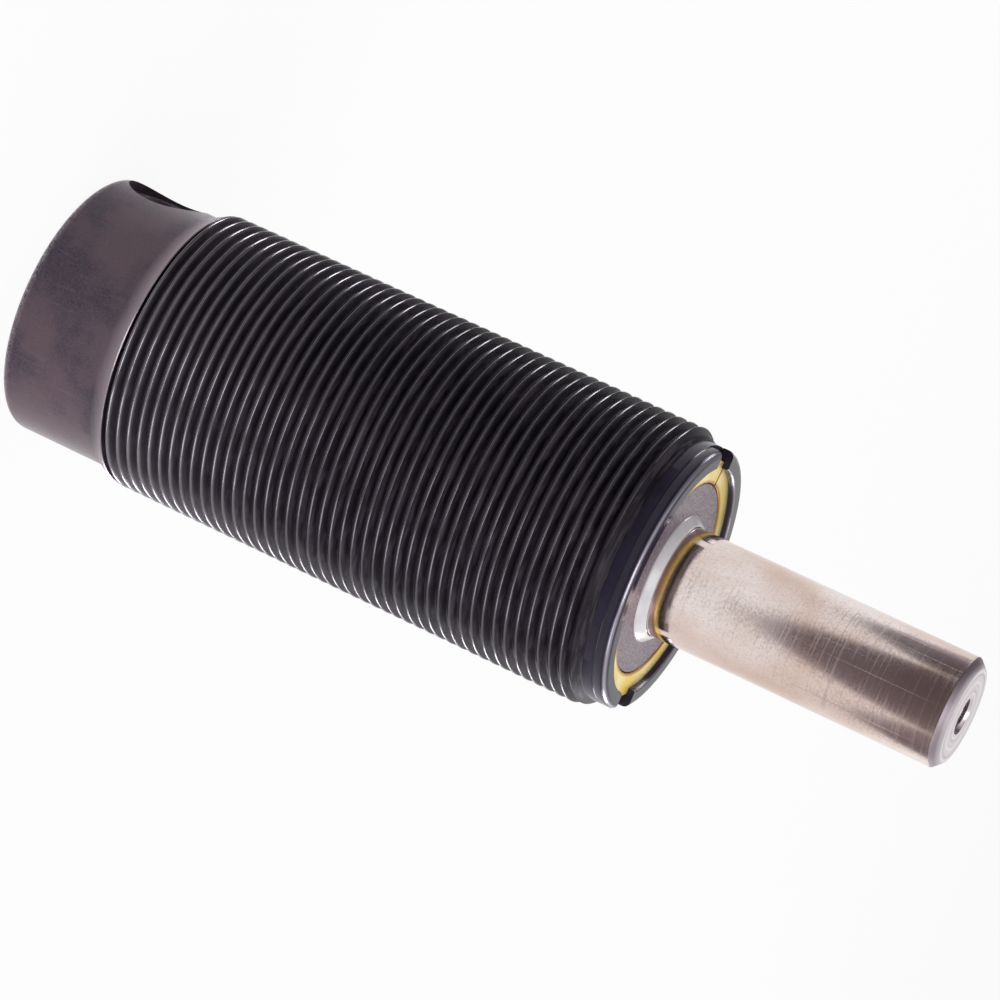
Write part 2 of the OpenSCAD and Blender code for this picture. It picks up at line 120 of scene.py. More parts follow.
def bridge(faces, lower, upper):
    """Adds the faces between two circles, leaving out a side that has shrunk to a point."""
    for i in range(len(lower)):
        j = (i + 1) % len(lower)
        corners = list(dict.fromkeys([lower[i], lower[j], upper[j], upper[i]]))
        if len(corners) > 2:
            faces.append(corners)


def revolve(points, faces, outline, sides):
    """Turns an outline of radius and height round the axis, and gives its circles."""
    circles = [circle(points, r, z, sides) for r, z in outline]
    for lower, upper in zip(circles, circles[1:]):
        bridge(faces, lower, upper)
    return circles


def thread(points, faces, low, high, z_low, z_high, pitch, form, radius_at, inside=False):
    """A right-hand thread between two circles: rows of points that climb one pitch a turn. A row that
    would pass a circle joins it, so the thread fades in and out on clean edges. The rows start two
    turns low, so that the first of them lies wholly on the lower circle."""
    sides = len(low)
    rows = []
    for turn in range(-2, math.ceil((z_high - z_low) / pitch) + 1):
        for rise, depth in form:
            row = []
            for i in range(sides):
                z = z_low + (turn + i / sides) * pitch + rise
                if z <= z_low:
                    row.append(low[i])
                elif z >= z_high:
                    row.append(high[i])
                else:
                    angle = 2 * math.pi * i / sides
                    radius = radius_at(angle, z, depth)
                    row.append(len(points))
                    points.append((radius * math.cos(angle), radius * math.sin(angle), z))
            rows.append(row)
    rows += [high] * len(form)
    for k in range(len(rows) - len(form)):
        for i in range(sides):
            right = (i + 1) % sides
            over = len(form) if right == 0 else 0
            next_low = rows[min(k + over, len(rows) - 1)][right]
            next_high = rows[min(k + 1 + over, len(rows) - 1)][right]
            corners = list(dict.fromkeys([rows[k][i], next_low, next_high, rows[k + 1][i]]))
            if len(corners) > 2:
                faces.append(corners[::-1] if inside else corners)


def new_piece(name, points, faces):
    """Makes an object from points and faces."""
    mesh = bpy.data.meshes.new(name)
    mesh.from_pydata(points, [], faces)
    mesh.validate()
    made = bpy.data.objects.new(name, mesh)
    bpy.context.scene.collection.objects.link(made)
    return made


def cut_away(piece, tools):
    """Takes the tools' shapes out of a piece and deletes the tools."""
    for tool in tools:
        change = piece.modifiers.new(tool.name, "BOOLEAN")
        change.operation = "DIFFERENCE"
        change.solver = "EXACT"
        change.object = tool
    shown = piece.evaluated_get(bpy.context.evaluated_depsgraph_get())
    mesh = bpy.data.meshes.new_from_object(shown)
    piece.modifiers.clear()
    piece.data = mesh
    for tool in tools:
        bpy.data.objects.remove(tool)


def shade(piece, crease_angle):
    """Shades a piece smooth, with the edges that turn more than an angle left sharp."""
    piece.data.shade_smooth()
    piece.data.set_sharp_from_angle(angle=math.radians(crease_angle))


def keep_flat(piece):
    """Lets large faces set the shading, so that a small rounding doesn't bend the face beside it."""
    piece.modifiers.new("keep_flat", "WEIGHTED_NORMAL").keep_sharp = True


def body_thread_radius(angle, z, depth):
    """The thread's radius: its form with a few nicks in the crest, cut down by the tail at the land."""
    tail = land_r + (crest_r - land_r) * (thread_top - z) / thread_tail
    place = Vector((crest_r * math.cos(angle), crest_r * math.sin(angle), z))
    on_crest = depth < crest_fall
    nick = max(0, noise.noise(place / nick_spacing) - nick_level) * nick_depth
    return min(crest_r - depth - (nick if on_crest else 0), tail)


crest_to_root = thread_pitch / 2 - root_half - crest_break
thread_form = [
    (thread_start - crest_half - crest_break, crest_fall),
    (thread_start - crest_half + crest_break, 0),
    (thread_start + crest_half - crest_break, 0),
    (thread_start + crest_half + crest_break, crest_fall),
    (thread_start + crest_to_root, thread_depth - crest_fall),
    (thread_start + thread_pitch / 2, thread_depth),
    (thread_start + thread_pitch - crest_to_root, thread_depth - crest_fall),
]
collar_outline = [
    (0, 0),
    *arc((collar_r - collar_edge, collar_edge), collar_edge, -90, 0),
    (collar_r, collar_top),
    (lead_r, lead_top - lead_edge),
    (lead_r - lead_edge, lead_top),
    (crest_r - thread_depth, lead_top),
]
rim_outline = [
    (land_r, thread_top),
    (land_r, crease_z - crease_half),
    (land_r - crease_depth, crease_z),
    (land_r, crease_z + crease_half),
    *arc((land_r - nose_r, body_top - nose_r), nose_r, 0, 90),
    (bore_r + rim_bevel, body_top),
    (bore_r, body_top - rim_bevel),
    (bore_r, ring_groove_high),
    (ring_groove_r, ring_groove_high),
    (ring_groove_r, ring_groove_low),
    (bore_r, ring_groove_low),
    (bore_r, bore_floor),
    (valve_pocket_r, bore_floor),
    (valve_pocket_r, valve_pocket_z),
    (passage_r, valve_pocket_z),
    (passage_r, port_z),
    (0, port_z),
]
body_points = []
body_faces = []
collar_circles = revolve(body_points, body_faces, collar_outline, body_sides)
rim_circles = revolve(body_points, body_faces, rim_outline, body_sides)
thread(
    body_points, body_faces, collar_circles[-1], rim_circles[0], lead_top, thread_top,
    thread_pitch, thread_form, body_thread_radius,
)
body = new_piece("threaded_cylinder", body_points, body_faces)

port_outline = [
    (0, 2 * crest_r),
    (spot_r, 2 * crest_r),
    (spot_r, spot_x),
    (plug_hole_r + plug_hole_bevel, spot_x),
    (plug_hole_r, spot_x - plug_hole_bevel),
    (plug_hole_r, plug_hole_floor),
    (passage_r, plug_hole_floor),
    (passage_r, 0),
    (0, 0),
]
port_points = []
port_faces = []
revolve(port_points, port_faces, port_outline[::-1], port_sides)
port_tool = new_piece("port_tool", port_points, port_faces)
port_tool.data.transform(Matrix.Translation((0, 0, port_z)) @ Matrix.Rotation(-math.pi / 2, 4, "Y"))
slot_corners = [
    (x, y, z)
    for z in (slot_floor, 2 * body_top)
    for x, y in ((-1, -1), (1, -1), (1, 1), (-1, 1))
]
slot_points = [(x * 2 * crest_r, y * slot_width / 2, z) for x, y, z in slot_corners]
slot_faces = [(0, 3, 2, 1), (4, 5, 6, 7), *[(i, (i + 1) % 4, (i + 1) % 4 + 4, i + 4) for i in range(4)]]
slot_tool = new_piece("slot_tool", slot_points, slot_faces)
cut_away(body, [port_tool, slot_tool])
shade(body, 45)
keep_flat(body)


def linear(colour):
    """An sRGB hex colour as the linear values that a shader takes."""
    shares = [int(colour[i:i + 2], 16) / 255 for i in (1, 3, 5)]
    return [s / 12.92 if s <= 0.04045 else ((s + 0.055) / 1.055) ** 2.4 for s in shares] + [1]


def add(tree, kind, inputs, **settings):
    """Adds a node with its settings. Each input takes a value, or a link where it is given a socket."""
    made = tree.nodes.new(kind)
    for name, value in settings.items():
        setattr(made, name, value)
    for name, value in inputs.items():
        if isinstance(value, bpy.types.NodeSocket):
            tree.links.new(value, made.inputs[name])
        else:
            made.inputs[name].default_value = value
    return made


def new_material(name):
    """An empty material, its node tree and the place on the piece in metres."""
    made = bpy.data.materials.new(name)
    made.use_nodes = True
    made.node_tree.nodes.clear()
    place = add(made.node_tree, "ShaderNodeTexCoord", {}).outputs["Object"]
    return made, made.node_tree, place


# Black oxide on cut thread: a hard dark skin, near black in the valleys. The crests show thin bright
# lines of bare steel, partly real rubbing against other steel and partly a painted highlight, broader
# near the collar, where the skin is lighter too. The flanks that face the base are painted a lighter
# grey, a painted light from the white table below, and long smears of dried oil lie on all of them.
oxide_thread, tree, place = new_material("black_oxide_on_cut_thread")
flat = add(tree, "ShaderNodeMapping", {"Vector": place, "Scale": (1, 1, 0)}).outputs["Vector"]
radius = add(tree, "ShaderNodeVectorMath", {0: flat}, operation="LENGTH").outputs["Value"]
height = add(tree, "ShaderNodeSeparateXYZ", {"Vector": place}).outputs["Z"]
# Towards the collar the bare band reaches deeper and every colour of the thread is lighter.
near_collar = add(tree, "ShaderNodeMapRange", {
    "Value": height, "From Min": lead_top + 5 * mm, "From Max": lead_top + 30 * mm,
    "To Min": 1, "To Max": 0,
}).outputs["Result"]
rub_depth = add(tree, "ShaderNodeMapRange", {
    "Value": near_collar, "To Min": crest_r - 0.16 * mm, "To Max": crest_r - 0.4 * mm,
}).outputs["Result"]
# The bare crest band: partly real wear, partly a painted highlight.
wear_and_painted_highlight = add(tree, "ShaderNodeMapRange", {
    "Value": radius, "From Min": rub_depth, "From Max": crest_r - 0.01 * mm,
}, interpolation_type="SMOOTHSTEP").outputs["Result"]
patches = add(tree, "ShaderNodeTexNoise", {
    "Vector": place, "Scale": 1 / (5 * mm), "Detail": 4,
}).outputs["Fac"]
patch_wear = add(tree, "ShaderNodeMapRange", {
    "Value": patches, "From Min": 0.3, "From Max": 0.65, "To Min": 0.65, "To Max": 1,
}).outputs["Result"]
bare_steel_and_highlight = add(tree, "ShaderNodeMath", {0: wear_and_painted_highlight, 1: patch_wear}, operation="MULTIPLY").outputs["Value"]
streak_place = add(tree, "ShaderNodeMapping", {
    "Vector": place, "Scale": (1 / (4 * mm), 1 / (4 * mm), 1 / (0.35 * mm)),
}).outputs["Vector"]
streaks = add(tree, "ShaderNodeTexNoise", {
    "Vector": streak_place, "Scale": 1, "Detail": 3, "Distortion": 0.6,
}).outputs["Fac"]
smear = add(tree, "ShaderNodeMapRange", {
    "Value": streaks, "From Min": 0.45, "From Max": 0.68,
}).outputs["Result"]
facing = add(tree, "ShaderNodeTexCoord", {}).outputs["Normal"]
rise = add(tree, "ShaderNodeSeparateXYZ", {"Vector": facing}).outputs["Z"]
# Flanks that face down: painted light from the white table, drawn as a lighter grey.
painted_table_light = add(tree, "ShaderNodeMapRange", {
    "Value": rise, "From Min": -0.3, "From Max": -0.8,
}).outputs["Result"]
oxide = add(tree, "ShaderNodeMixRGB", {
    "Fac": near_collar, "Color1": linear("#252128"), "Color2": linear("#38323a"),
}).outputs["Color"]
painted_table_light_colour = add(tree, "ShaderNodeMixRGB", {
    "Fac": near_collar, "Color1": linear("#4e4851"), "Color2": linear("#68626a"),
}).outputs["Color"]
flank = add(tree, "ShaderNodeMixRGB", {
    "Fac": painted_table_light, "Color1": oxide, "Color2": painted_table_light_colour,
}).outputs["Color"]
skin = add(tree, "ShaderNodeMixRGB", {
    "Fac": smear, "Color1": flank, "Color2": linear("#48424a"),
}).outputs["Color"]
steel = add(tree, "ShaderNodeMixRGB", {
    "Fac": near_collar, "Color1": linear("#646066"), "Color2": linear("#858187"),
}).outputs["Color"]
colour = add(tree, "ShaderNodeMixRGB", {
    "Fac": bare_steel_and_highlight, "Color1": skin, "Color2": steel,
}).outputs["Color"]
rough = add(tree, "ShaderNodeMapRange", {
    "Value": streaks, "From Min": 0.3, "From Max": 0.7, "To Min": 0.3, "To Max": 0.48,
}).outputs["Result"]
rough = add(tree, "ShaderNodeMapRange", {
    "Value": bare_steel_and_highlight, "To Min": rough, "To Max": 0.12,
}).outputs["Result"]
bump = add(tree, "ShaderNodeBump", {"Height": streaks, "Strength": 0.35, "Distance": 0.05 * mm})
shader = add(tree, "ShaderNodeBsdfPrincipled", {
    "Base Color": colour, "Metallic": bare_steel_and_highlight, "Roughness": rough, "Specular IOR Level": 0.08,
    "Normal": bump.outputs["Normal"],
})
add(tree, "ShaderNodeOutputMaterial", {"Surface": shader.outputs["BSDF"]})

# Oiled phosphate on turned steel: a satin, purple-grey skin of fine crystals, a little mottled, with
# some bluer patches and thin handling scratches. It is rubbed lighter on the base edge, and lighter on
# the cone.
# The crystals of about 0.03 mm are drawn at 0.25 mm, so that they show.
phosphate, tree, place = new_material("phosphate_on_turned_steel")
mottle = add(tree, "ShaderNodeTexNoise", {
    "Vector": place, "Scale": 1 / (9 * mm), "Detail": 5, "Roughness": 0.6,
}).outputs["Fac"]
patch = add(tree, "ShaderNodeMapRange", {
    "Value": mottle, "From Min": 0.38, "From Max": 0.62,
}, interpolation_type="SMOOTHSTEP").outputs["Result"]
crystals = add(tree, "ShaderNodeTexNoise", {
    "Vector": place, "Scale": 1 / (0.25 * mm), "Detail": 3,
}).outputs["Fac"]
skin = add(tree, "ShaderNodeMixRGB", {
    "Fac": patch, "Color1": linear("#453b4a"), "Color2": linear("#69565f"),
}).outputs["Color"]
patchy = add(tree, "ShaderNodeMapRange", {
    "Value": crystals, "From Min": 0.33, "From Max": 0.67,
}).outputs["Result"]
grain_share = add(tree, "ShaderNodeMapRange", {"Value": patchy, "To Max": 0.4}).outputs["Result"]
grainy = add(tree, "ShaderNodeMixRGB", {
    "Fac": grain_share, "Color1": skin, "Color2": linear("#77666f"),
}).outputs["Color"]
scratch_place = add(tree, "ShaderNodeMapping", {
    "Vector": place, "Rotation": (1.1, 0.4, 0.6), "Scale": (1 / (5 * mm), 1 / (0.15 * mm), 1 / (5 * mm)),
}).outputs["Vector"]
scratches = add(tree, "ShaderNodeTexNoise", {
    "Vector": scratch_place, "Scale": 1, "Detail": 1, "Distortion": 0.8,
}).outputs["Fac"]
scratched = add(tree, "ShaderNodeMapRange", {
    "Value": scratches, "From Min": 0.62, "From Max": 0.72, "To Min": 0, "To Max": 0.2,
}).outputs["Result"]
grainy = add(tree, "ShaderNodeMixRGB", {
    "Fac": scratched, "Color1": grainy, "Color2": linear("#7c7278"),
}).outputs["Color"]
height = add(tree, "ShaderNodeSeparateXYZ", {"Vector": place}).outputs["Z"]
foot_wear = add(tree, "ShaderNodeMapRange", {
    "Value": height, "From Min": 0.3 * mm, "From Max": 1.1 * mm, "To Min": 1, "To Max": 0,
}).outputs["Result"]
# The cone is drawn lighter and more metallic towards the thread.
cone_lightening = add(tree, "ShaderNodeMapRange", {
    "Value": height, "From Min": collar_top, "From Max": lead_top, "To Min": 0, "To Max": 0.55,
}).outputs["Result"]
on_cone = add(tree, "ShaderNodeMath", {
    0: height, 1: collar_top,
}, operation="GREATER_THAN").outputs["Value"]
cone_lightening = add(tree, "ShaderNodeMath", {0: cone_lightening, 1: on_cone}, operation="MULTIPLY").outputs["Value"]
foot_wear = add(tree, "ShaderNodeMath", {0: foot_wear, 1: patchy}, operation="MULTIPLY").outputs["Value"]
lighter_foot_and_cone = add(tree, "ShaderNodeMath", {0: foot_wear, 1: cone_lightening}, operation="MAXIMUM").outputs["Value"]
colour = add(tree, "ShaderNodeMixRGB", {
    "Fac": lighter_foot_and_cone, "Color1": grainy, "Color2": linear("#b0a6ac"),
}).outputs["Color"]
rough = add(tree, "ShaderNodeMapRange", {
    "Value": mottle, "From Min": 0.3, "From Max": 0.7, "To Min": 0.17, "To Max": 0.28,
}).outputs["Result"]
bump = add(tree, "ShaderNodeBump", {"Height": crystals, "Strength": 0.2, "Distance": 0.05 * mm})
shader = add(tree, "ShaderNodeBsdfPrincipled", {
    "Base Color": colour, "Metallic": lighter_foot_and_cone, "Roughness": rough, "Specular IOR Level": 0.25,
    "Normal": bump.outputs["Normal"],
})
add(tree, "ShaderNodeOutputMaterial", {"Surface": shader.outputs["BSDF"]})

# Black oxide on the smooth rim: the same skin on a finer turned surface, glossy and blue-black. A band of
# bright steel on the rounded nose and the bevel inside it, where they turn upwards, is a painted
# highlight.
oxide_rim, tree, place = new_material("black_oxide_on_smooth_rim")
clouds = add(tree, "ShaderNodeTexNoise", {
    "Vector": place, "Scale": 1 / (3 * mm), "Detail": 4,
}).outputs["Fac"]
colour = add(tree, "ShaderNodeMixRGB", {
    "Fac": clouds, "Color1": linear("#262231"), "Color2": linear("#393445"),
}).outputs["Color"]
facing = add(tree, "ShaderNodeTexCoord", {}).outputs["Normal"]
rise = add(tree, "ShaderNodeSeparateXYZ", {"Vector": facing}).outputs["Z"]
# Bright steel where the nose and the bevel turn upwards: a painted highlight.
above = add(tree, "ShaderNodeMapRange", {
    "Value": rise, "From Min": 0.3, "From Max": 0.6,
}, interpolation_type="SMOOTHSTEP").outputs["Result"]
below = add(tree, "ShaderNodeMapRange", {
    "Value": rise, "From Min": 0.95, "From Max": 0.7,
}, interpolation_type="SMOOTHSTEP").outputs["Result"]
wear_and_painted_highlight = add(tree, "ShaderNodeMath", {0: above, 1: below}, operation="MULTIPLY").outputs["Value"]
height = add(tree, "ShaderNodeSeparateXYZ", {"Vector": place}).outputs["Z"]
nose_highlight = add(tree, "ShaderNodeMapRange", {
    "Value": height, "From Min": body_top - nose_r, "From Max": body_top - nose_r / 2,
    "To Min": 0, "To Max": 0.5,
}).outputs["Result"]
bare_steel_and_highlight = add(tree, "ShaderNodeMath", {0: wear_and_painted_highlight, 1: nose_highlight}, operation="MULTIPLY").outputs["Value"]
colour = add(tree, "ShaderNodeMixRGB", {
    "Fac": bare_steel_and_highlight, "Color1": colour, "Color2": linear("#cfc9d4"),
}).outputs["Color"]
rough = add(tree, "ShaderNodeMapRange", {
    "Value": clouds, "From Min": 0.3, "From Max": 0.7, "To Min": 0.16, "To Max": 0.26,
}).outputs["Result"]
bump = add(tree, "ShaderNodeBump", {"Height": clouds, "Strength": 0.2, "Distance": 0.05 * mm})
shader = add(tree, "ShaderNodeBsdfPrincipled", {
    "Base Color": colour, "Metallic": bare_steel_and_highlight, "Roughness": rough, "Specular IOR Level": 0.2,
    "Normal": bump.outputs["Normal"],
})
add(tree, "ShaderNodeOutputMaterial", {"Surface": shader.outputs["BSDF"]})

# Black oxide in the milled port: rough, unpolished walls, kept dark and dull as a painted shade for the
# shadow in the port, with cutter marks drawn 0.6 mm apart.
port_oxide_and_shade, tree, place = new_material("black_oxide_and_painted_shade_in_port")
marks = add(tree, "ShaderNodeTexNoise", {
    "Vector": place, "Scale": 1 / (0.6 * mm), "Detail": 3,
}).outputs["Fac"]
colour = add(tree, "ShaderNodeMixRGB", {
    "Fac": marks, "Color1": linear("#40353d"), "Color2": linear("#5c5059"),
}).outputs["Color"]
bump = add(tree, "ShaderNodeBump", {"Height": marks, "Strength": 0.3, "Distance": 0.05 * mm})
shader = add(tree, "ShaderNodeBsdfPrincipled", {
    "Base Color": colour, "Roughness": 0.75, "Specular IOR Level": 0.1, "Normal": bump.outputs["Normal"],
})
add(tree, "ShaderNodeOutputMaterial", {"Surface": shader.outputs["BSDF"]})

body_skins = [phosphate, oxide_thread, oxide_rim, port_oxide_and_shade]
for skin in body_skins:
    body.data.materials.append(skin)
for face in body.data.polygons:
    in_bore = Vector(face.center.xy).length <= bore_r + rim_bevel and face.center.z > bore_floor
    from_port_axis = math.hypot(face.center.y, face.center.z - port_z)
    in_port = face.center.x < 0 and from_port_axis < spot_r + crest_break
    upright_wall = abs(face.normal.x) < 0.5
    # The port's upright walls take the dark, dull painted shade.
    if in_port and upright_wall:
        finish = port_oxide_and_shade
    elif face.center.z > thread_top or in_bore:
        finish = oxide_rim
    elif face.center.z > lead_top:
        finish = oxide_thread
    else:
        finish = phosphate
    face.material_index = body_skins.index(finish)
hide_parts("cylinder_body")
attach(body, "cylinder")


# Charging valve: a brass seat and a brass poppet with a rubber face, under a small coil spring and a
# steel cap pressed into the base. Gas comes in past the poppet, which then closes under pressure.
def turned_finish(name, light, dark, metallic, roughness, grain):
    """A turned or moulded material: two close colours in fine rings and clouds of a given size."""
    made, tree, place = new_material(name)
    rings = add(tree, "ShaderNodeMapping", {
        "Vector": place, "Scale": (0.2 / grain, 0.2 / grain, 1 / grain),
    }).outputs["Vector"]
    lines = add(tree, "ShaderNodeTexNoise", {"Vector": rings, "Scale": 1, "Detail": 3}).outputs["Fac"]
    colour = add(tree, "ShaderNodeMixRGB", {
        "Fac": lines, "Color1": linear(dark), "Color2": linear(light),
    }).outputs["Color"]
    rough = add(tree, "ShaderNodeMapRange", {
        "Value": lines, "To Min": roughness - 0.08, "To Max": roughness + 0.08,
    }).outputs["Result"]
    bump = add(tree, "ShaderNodeBump", {"Height": lines, "Strength": 0.2, "Distance": 0.03 * mm})
    shader = add(tree, "ShaderNodeBsdfPrincipled", {
        "Base Color": colour, "Metallic": metallic, "Roughness": rough,
        "Normal": bump.outputs["Normal"],
    })
    add(tree, "ShaderNodeOutputMaterial", {"Surface": shader.outputs["BSDF"]})
    return made


def finish_node(material, *names):
    """Gives a material to pieces that keep their own solid, and shades them smooth."""
    for name in names:
        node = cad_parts[name]
        node.data.materials.clear()
        node.data.materials.append(material)
        shade(node, 25)


# Turned brass: warm yellow with faint tool rings.
brass = turned_finish(
    "turned_brass", light="#d8b36a", dark="#b98f45", metallic=1, roughness=0.3, grain=0.4 * mm,
)
# Moulded nitrile rubber: dull black with a slight bloom.
rubber = turned_finish(
    "moulded_nitrile_rubber", light="#2a2a2c", dark="#19191a", metallic=0, roughness=0.55, grain=0.5 * mm,
)
# Drawn spring wire: grey steel with die lines.
spring_wire = turned_finish(
    "drawn_spring_wire", light="#b9b8bb", dark="#8f8e92", metallic=1, roughness=0.32, grain=0.15 * mm,
)
# Turned steel: mid grey with tool rings.
turned_steel = turned_finish(
    "turned_steel", light="#a9a7a9", dark="#838184", metallic=1, roughness=0.36, grain=0.3 * mm,
)
finish_node(brass, "valve_seat", "valve_poppet")
finish_node(rubber, "valve_seat_o_ring", "valve_poppet_seal")
finish_node(turned_steel, "valve_retainer")

# Valve spring: a small coil wound from round steel wire, held at its upper end by the cap. Its lower
# end rests on the poppet, so the coil shortens by as much as the poppet lifts.
coil = bpy.data.objects.new("valve_coil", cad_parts["valve_spring"].data.copy())
bpy.context.scene.collection.objects.link(coil)
coil.data.materials.clear()
coil.data.materials.append(spring_wire)
shade(coil, 25)
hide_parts("valve_spring")
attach(coil, "cylinder")
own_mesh(coil)

# Port plug: a short headless screw with a hexagon socket that closes the charging port in the collar,
# turned from steel and blackened. A copper washer under it makes the seal.

# Black oxide on a turned plug: soft black with faint tool rings.
plug_black = turned_finish(
    "black_oxide_on_plug", light="#3a383d", dark="#232226", metallic=0.3, roughness=0.42, grain=0.3 * mm,
)
# Soft copper: red-brown with a dull shine.
copper = turned_finish(
    "soft_copper", light="#c98a63", dark="#a5653f", metallic=1, roughness=0.4, grain=0.4 * mm,
)
finish_node(plug_black, "port_plug")
finish_node(copper, "port_plug_seal")

# Guide housing: the steel gland that closes the cylinder round the rod. Its seals, bush and washer sit
# in pockets inside it; only its flat face shows, blasted to a fine speckled grey.
housing_low, housing_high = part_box("guide_housing")
face_z = housing_high.z
housing_r = housing_high.x
spigot_r = 12.2 * mm
spigot_h = 1.1 * mm
spigot_edge = 0.15 * mm
wiper_neck_r = 8.28 * mm
wiper_groove_r = 9.75 * mm
wiper_groove_top = face_z - 1 * mm
wiper_groove_low = wiper_groove_top - 2.4 * mm
web_r = 7.75 * mm
bush_top = wiper_groove_low - 0.6 * mm
bush_r = 8.5 * mm
seal_top = bush_top - 8 * mm
seal_r = 10 * mm
washer_r = 11 * mm
washer_top = housing_low.z + 2 * mm
housing_bevel = 0.5 * mm
housing_groove_r = 12.7 * mm
housing_groove_low = housing_low.z + 4 * mm
housing_groove_high = housing_groove_low + 3 * mm
housing_outline = [
    (washer_r, housing_low.z),
    (housing_r - housing_bevel, housing_low.z),
    (housing_r, housing_low.z + housing_bevel),
    (housing_r, housing_groove_low),
    (housing_groove_r, housing_groove_low),
    (housing_groove_r, housing_groove_high),
    (housing_r, housing_groove_high),
    (housing_r, face_z - spigot_h),
    (spigot_r, face_z - spigot_h),
    *arc((spigot_r - spigot_edge, face_z - spigot_edge), spigot_edge, 0, 90),
    (wiper_neck_r, face_z),
    (wiper_neck_r, wiper_groove_top),
    (wiper_groove_r, wiper_groove_top),
    (wiper_groove_r, wiper_groove_low),
    (web_r, wiper_groove_low),
    (web_r, bush_top),
    (bush_r, bush_top),
    (bush_r, seal_top),
    (seal_r, seal_top),
    (seal_r, washer_top),
    (washer_r, washer_top),
]
gland_sides = 160
housing_points = []
housing_faces = []
housing_circles = revolve(housing_points, housing_faces, housing_outline, gland_sides)
bridge(housing_faces, housing_circles[-1], housing_circles[0])
housing = new_piece("gland_housing", housing_points, housing_faces)
shade(housing, 30)
keep_flat(housing)

# Blasted steel: grit leaves a dull purple-grey face, speckled with light and dark dots. The dots of
# about 0.05 mm are drawn at 0.22 mm, so that they show.
blasted, tree, place = new_material("blasted_steel")
dots = add(tree, "ShaderNodeTexNoise", {
    "Vector": place, "Scale": 1 / (0.22 * mm), "Detail": 3, "Roughness": 0.7,
}).outputs["Fac"]
speckle = add(tree, "ShaderNodeMapRange", {
    "Value": dots, "From Min": 0.35, "From Max": 0.65,
}).outputs["Result"]
colour = add(tree, "ShaderNodeMixRGB", {
    "Fac": speckle, "Color1": linear("#645b62"), "Color2": linear("#aea2a9"),
}).outputs["Color"]
bump = add(tree, "ShaderNodeBump", {"Height": dots, "Strength": 0.5, "Distance": 0.04 * mm})
shader = add(tree, "ShaderNodeBsdfPrincipled", {
    "Base Color": colour, "Metallic": 0.7, "Roughness": 0.5, "Normal": bump.outputs["Normal"],
})
add(tree, "ShaderNodeOutputMaterial", {"Surface": shader.outputs["BSDF"]})
housing.data.materials.append(blasted)
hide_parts("guide_housing")
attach(housing, "cylinder")

# Turned bronze: brown-gold with fine tool rings.
bronze = turned_finish(
    "turned_bronze", light="#c39a5c", dark="#9c7639", metallic=1, roughness=0.3, grain=0.3 * mm,
)
# Turned PTFE: waxy cream white.
ptfe = turned_finish(
    "turned_ptfe", light="#e6e1d3", dark="#d6cfbe", metallic=0, roughness=0.45, grain=0.4 * mm,
)
finish_node(bronze, "guide_bush")
finish_node(rubber, "rod_seal", "housing_o_ring")
finish_node(ptfe, "rod_seal_backup", "housing_backup_ring")
finish_node(turned_steel, "seal_retainer")

# Retaining ring: a flat split ring that snaps into the groove in the rim and holds the housing in,
# stamped from spring steel and plated with yellow zinc. Its split lies near one of the slots.
ring_low, ring_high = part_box("retaining_ring")
ring_inner_r = spigot_r + 0.1 * mm
ring_outer_r = ring_groove_r - 0.1 * mm
ring_edge = 0.15 * mm
ring_split = 0.5 * mm
ring_split_angle = math.radians(167.5)
ring_outline = [
    *arc((ring_outer_r - ring_edge, ring_low.z + ring_edge), ring_edge, -90, 0, 3),
    *arc((ring_outer_r - ring_edge, ring_high.z - ring_edge), ring_edge, 0, 90, 3),
    *arc((ring_inner_r + ring_edge, ring_high.z - ring_edge), ring_edge, 90, 180, 3),
    *arc((ring_inner_r + ring_edge, ring_low.z + ring_edge), ring_edge, 180, 270, 3),
]
half_split = ring_split / 2 / (ring_inner_r + ring_outer_r) * 2
ring_steps = 180
ring_points = []
ring_faces = []
for i in range(ring_steps + 1):
    turn = ring_split_angle + half_split + (2 * math.pi - 2 * half_split) * i / ring_steps
    ring_points += [(r * math.cos(turn), r * math.sin(turn), z) for r, z in ring_outline]
corners = len(ring_outline)
for i in range(ring_steps):
    for j in range(corners):
        a = i * corners + j
        b = i * corners + (j + 1) % corners
        ring_faces.append((a, a + corners, b + corners, b))
ring_faces.append(tuple(range(corners)))
ring_faces.append(tuple(range(ring_steps * corners + corners - 1, ring_steps * corners - 1, -1)))
split_ring = new_piece("split_ring", ring_points, ring_faces)
shade(split_ring, 35)
keep_flat(split_ring)

# Yellow zinc plate: bright brassy yellow that drifts towards pale gold from place to place, over
# faint stamping marks. Along the inner edge it turns orange-brown, a painted shade for the shadow there.
yellow_zinc, tree, place = new_material("yellow_zinc_plate")
drift = add(tree, "ShaderNodeTexNoise", {
    "Vector": place, "Scale": 1 / (4 * mm), "Detail": 3,
}).outputs["Fac"]
shift = add(tree, "ShaderNodeMapRange", {
    "Value": drift, "From Min": 0.35, "From Max": 0.65,
}).outputs["Result"]
grains = add(tree, "ShaderNodeTexNoise", {
    "Vector": place, "Scale": 1 / (0.25 * mm), "Detail": 3,
}).outputs["Fac"]
plate = add(tree, "ShaderNodeMixRGB", {
    "Fac": shift, "Color1": linear("#f8d86c"), "Color2": linear("#ffeeb0"),
}).outputs["Color"]
flat = add(tree, "ShaderNodeMapping", {"Vector": place, "Scale": (1, 1, 0)}).outputs["Vector"]
radius = add(tree, "ShaderNodeVectorMath", {0: flat}, operation="LENGTH").outputs["Value"]
